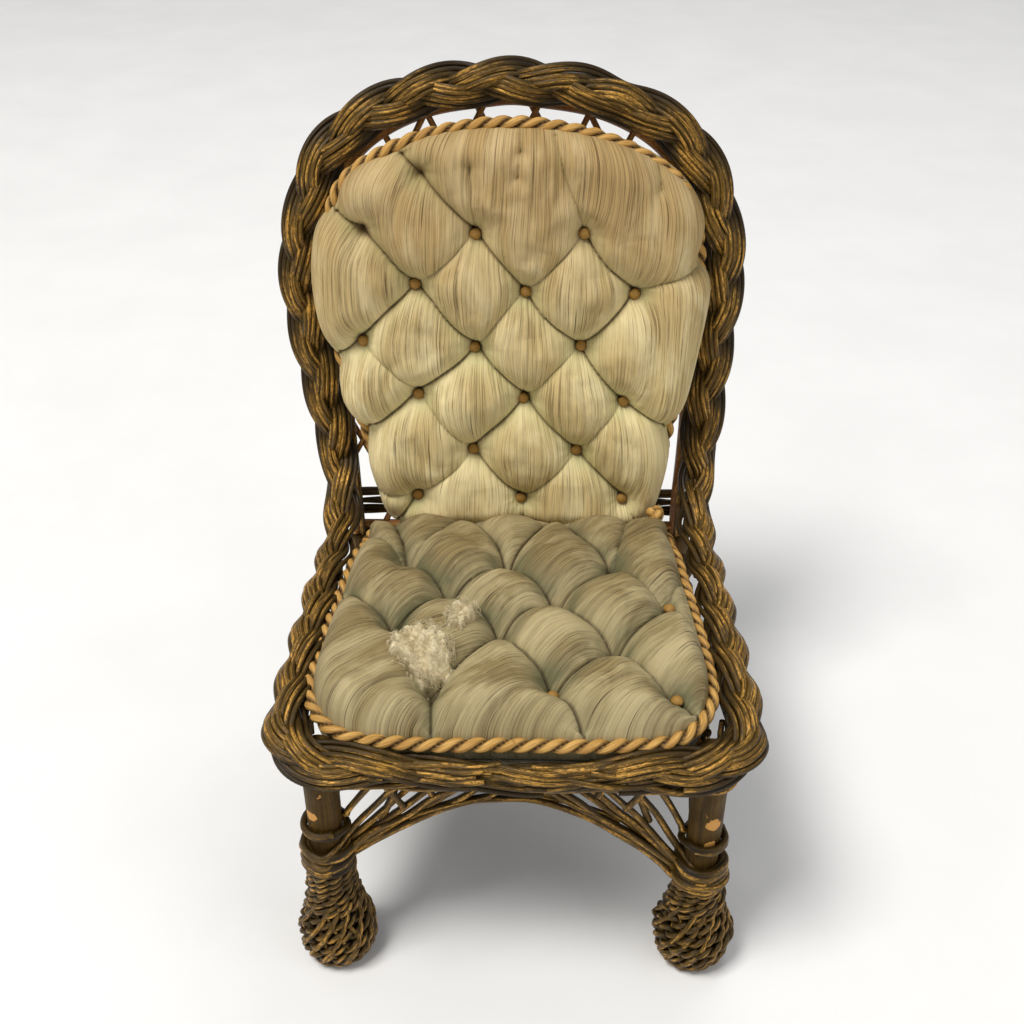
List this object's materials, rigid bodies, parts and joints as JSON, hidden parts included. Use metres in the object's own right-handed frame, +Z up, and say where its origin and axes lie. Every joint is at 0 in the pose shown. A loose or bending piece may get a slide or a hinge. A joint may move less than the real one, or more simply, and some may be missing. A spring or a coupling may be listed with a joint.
{
  "type": "doll's wicker side chair",
  "caption": "Armless doll's chair in painted wicker: plaited border round seat and arched back, woven feet, arched aprons, and button-tufted silk cushions with twisted edging.",
  "frame": {"origin": "on the floor under the middle of the chair's bounding box", "axes": "+Z up; +Y towards the back; +X to the right, seen from the front"},
  "size_m": [0.2197, 0.2286, 0.3547],
  "materials": {
    "painted_dowel": "worn bronze-green paint over wood",
    "painted_reed": "worn bronze-gilt paint over reed",
    "bent_rod": "stained",
    "bare_wood": "unpainted",
    "seat_silk": "aged silk",
    "back_silk": "aged silk",
    "lining_cloth": "plain cotton",
    "golden_edging": "twisted cord, satin",
    "button_cloth": "covered button"
  },
  "bodies": {
    "root": {"back_buttons": "button_cloth", "back_cushion": "back_silk", "back_cushion_lining": "lining_cloth", "back_edge_cord": "golden_edging", "back_hoop": "bent_rod", "back_lattice_left_lean": "painted_reed", "back_lattice_right_lean": "painted_reed", "back_lower_rail": "bare_wood", "border_strand_a": "painted_reed", "border_strand_b": "painted_reed", "border_strand_c": "painted_reed", "cord_knot": "golden_edging", "front_apron_arch": "painted_reed", "front_apron_struts": "painted_reed", "front_border_reeds": "painted_reed", "front_left_foot_weave": "painted_reed", "front_left_leg": "painted_dowel", "front_left_leg_collar": "painted_reed", "front_right_foot_weave": "painted_reed", "front_right_leg": "painted_dowel", "front_right_leg_collar": "painted_reed", "front_seat_rail": "bare_wood", "left_apron_arch": "painted_reed", "left_apron_struts": "painted_reed", "left_seat_rail": "bare_wood", "left_side_stake": "painted_reed", "rear_apron_arch": "painted_reed", "rear_apron_struts": "painted_reed", "rear_left_foot_weave": "painted_reed", "rear_left_leg": "painted_dowel", "rear_left_leg_collar": "painted_reed", "rear_right_foot_weave": "painted_reed", "rear_right_leg": "painted_dowel", "rear_right_leg_collar": "painted_reed", "rear_seat_rail": "bare_wood", "right_apron_arch": "painted_reed", "right_apron_struts": "painted_reed", "right_seat_rail": "bare_wood", "right_side_stake": "painted_reed", "seat_band_course_1": "painted_reed", "seat_band_course_2": "painted_reed", "seat_band_course_3": "painted_reed", "seat_band_stakes": "painted_reed", "seat_board": "bare_wood", "seat_buttons": "button_cloth", "seat_cushion": "seat_silk", "seat_cushion_lining": "lining_cloth", "seat_edge_cord": "golden_edging"}
  },
  "joints": []
}
